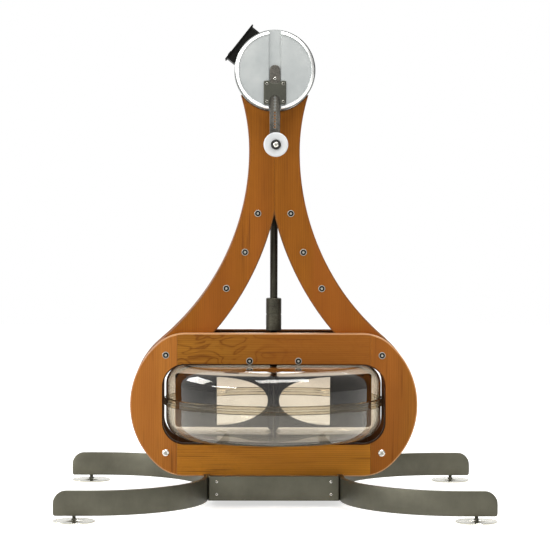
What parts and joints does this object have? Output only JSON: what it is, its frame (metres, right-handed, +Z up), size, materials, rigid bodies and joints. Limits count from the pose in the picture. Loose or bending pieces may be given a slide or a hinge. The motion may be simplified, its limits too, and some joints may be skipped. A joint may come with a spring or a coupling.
{
  "type": "upper body ergometer",
  "caption": "Standing hand crank machine: curved wooden tower with a crank drum, upright shaft, round smoked water tank in a rounded wooden panel, and a bent steel base on levelling feet.",
  "frame": {"origin": "on the floor, under the middle of the machine", "axes": "+Z up; -Y is the front that the picture shows; the user stands on the -X side, where the monitor is"},
  "size_m": [1.01, 0.836, 1.1392],
  "materials": {
    "cherry_wood": "oiled, satin",
    "coated_steel": "satin clear coat over grey steel",
    "dark_steel": "darkened, satin",
    "bright_steel": "zinc plated",
    "satin_aluminium": "satin turned",
    "smoked_clear": "clear, lightly smoked polycarbonate",
    "dark_plastic": "moulded",
    "white_plastic": "moulded, satin",
    "black_rubber": "matt",
    "screen_lens": "clear lens over a dark display"
  },
  "bodies": {
    "frame": {"panel_front_end_left": "cherry_wood", "panel_front_end_right": "cherry_wood", "panel_front_rail_top": "cherry_wood", "panel_front_rail_low": "cherry_wood", "panel_rear_end_left": "cherry_wood", "panel_rear_end_right": "cherry_wood", "panel_rear_rail_top": "cherry_wood", "panel_rear_rail_low": "cherry_wood", "tower_front_left": "cherry_wood", "tower_front_right": "cherry_wood", "tower_rear_left": "cherry_wood", "tower_rear_right": "cherry_wood", "leg_tie_left_1": "bright_steel", "leg_tie_left_2": "bright_steel", "leg_tie_left_3": "bright_steel", "leg_tie_right_1": "bright_steel", "leg_tie_right_2": "bright_steel", "leg_tie_right_3": "bright_steel", "corner_tie_high_left": "bright_steel", "corner_tie_high_right": "bright_steel", "corner_tie_low_left": "bright_steel", "corner_tie_low_right": "bright_steel", "base_strip_left": "coated_steel", "base_strip_right": "coated_steel", "base_cross_plate_front": "coated_steel", "base_cross_plate_rear": "coated_steel", "base_tray": "coated_steel", "tank_lower_shell": "smoked_clear", "tank_upper_shell": "smoked_clear", "tank_seal": "black_rubber", "tank_cradle": "coated_steel", "bearing_bridge": "coated_steel", "lower_shaft_bush": "dark_steel", "neck_block": "satin_aluminium", "drum_shell": "satin_aluminium", "drum_front_bearing_plate": "satin_aluminium", "monitor_housing": "dark_plastic", "monitor_screen": "screen_lens"},
    "crank": {"crank_axle": "bright_steel", "crank_bevel_gear": "bright_steel", "crank_disc_front": "satin_aluminium", "crank_disc_rear": "satin_aluminium", "arm_clamp_front": "dark_steel", "arm_clamp_rear": "dark_steel"},
    "rotor": {"drive_shaft": "dark_steel", "shaft_bevel_pinion": "bright_steel", "coupling_sleeve": "dark_steel", "paddle": "dark_plastic"},
    "arm_front": {"crank_arm_front": "dark_steel"},
    "arm_rear": {"crank_arm_rear": "dark_steel"},
    "handle_front": {"grip_front": "white_plastic"},
    "handle_rear": {"grip_rear": "white_plastic"},
    "button_1": {"monitor_button_1": "black_rubber"},
    "button_2": {"monitor_button_2": "black_rubber"},
    "button_3": {"monitor_button_3": "black_rubber"},
    "plug": {"tank_fill_plug": "black_rubber"},
    "pad_front_left": {"foot_front_left": "bright_steel"},
    "pad_front_right": {"foot_front_right": "bright_steel"},
    "pad_rear_left": {"foot_rear_left": "bright_steel"},
    "pad_rear_right": {"foot_rear_right": "bright_steel"}
  },
  "joints": [
    {"name": "crank_spin", "type": "hinge", "parent": "frame", "child": "crank", "pos_m": [0, 0, 1.0305], "axis": [0, 1, 0], "continuous": true},
    {"name": "shaft_spin", "type": "hinge", "parent": "frame", "child": "rotor", "pos_m": [0, 0, 0.5], "axis": [0, 0, 1], "continuous": true},
    {"name": "arm_front_slide", "type": "slide", "parent": "crank", "child": "arm_front", "axis": [0, 0, 1], "range_m": [-0.007, 0.07]},
    {"name": "arm_rear_slide", "type": "slide", "parent": "crank", "child": "arm_rear", "axis": [0, 0, 1], "range_m": [-0.007, 0.07]},
    {"name": "grip_front_spin", "type": "hinge", "parent": "arm_front", "child": "handle_front", "pos_m": [0, -0.1755, 0.8555], "axis": [0, 1, 0], "continuous": true},
    {"name": "grip_rear_spin", "type": "hinge", "parent": "arm_rear", "child": "handle_rear", "pos_m": [0, 0.1755, 0.8555], "axis": [0, 1, 0], "continuous": true},
    {"name": "button_1_press", "type": "slide", "parent": "frame", "child": "button_1", "axis": [0.7848, 0, -0.6198], "range_m": [0, 0.0012], "stiffness_N_per_m": 900, "springref_m": -0.0004},
    {"name": "button_2_press", "type": "slide", "parent": "frame", "child": "button_2", "axis": [0.7848, 0, -0.6198], "range_m": [0, 0.0012], "stiffness_N_per_m": 900, "springref_m": -0.0004},
    {"name": "button_3_press", "type": "slide", "parent": "frame", "child": "button_3", "axis": [0.7848, 0, -0.6198], "range_m": [0, 0.0012], "stiffness_N_per_m": 900, "springref_m": -0.0004},
    {"name": "plug_lift", "type": "slide", "parent": "frame", "child": "plug", "axis": [0, 0, 1], "range_m": [0, 0.03]},
    {"name": "pad_front_left_level", "type": "slide", "parent": "frame", "child": "pad_front_left", "axis": [0, 0, -1], "range_m": [0, 0.006]},
    {"name": "pad_front_right_level", "type": "slide", "parent": "frame", "child": "pad_front_right", "axis": [0, 0, -1], "range_m": [0, 0.006]},
    {"name": "pad_rear_left_level", "type": "slide", "parent": "frame", "child": "pad_rear_left", "axis": [0, 0, -1], "range_m": [0, 0.006]},
    {"name": "pad_rear_right_level", "type": "slide", "parent": "frame", "child": "pad_rear_right", "axis": [0, 0, -1], "range_m": [0, 0.006]}
  ],
  "couplings": [
    {"joint": "shaft_spin", "follows": "crank_spin", "ratio": 2.5}
  ]
}
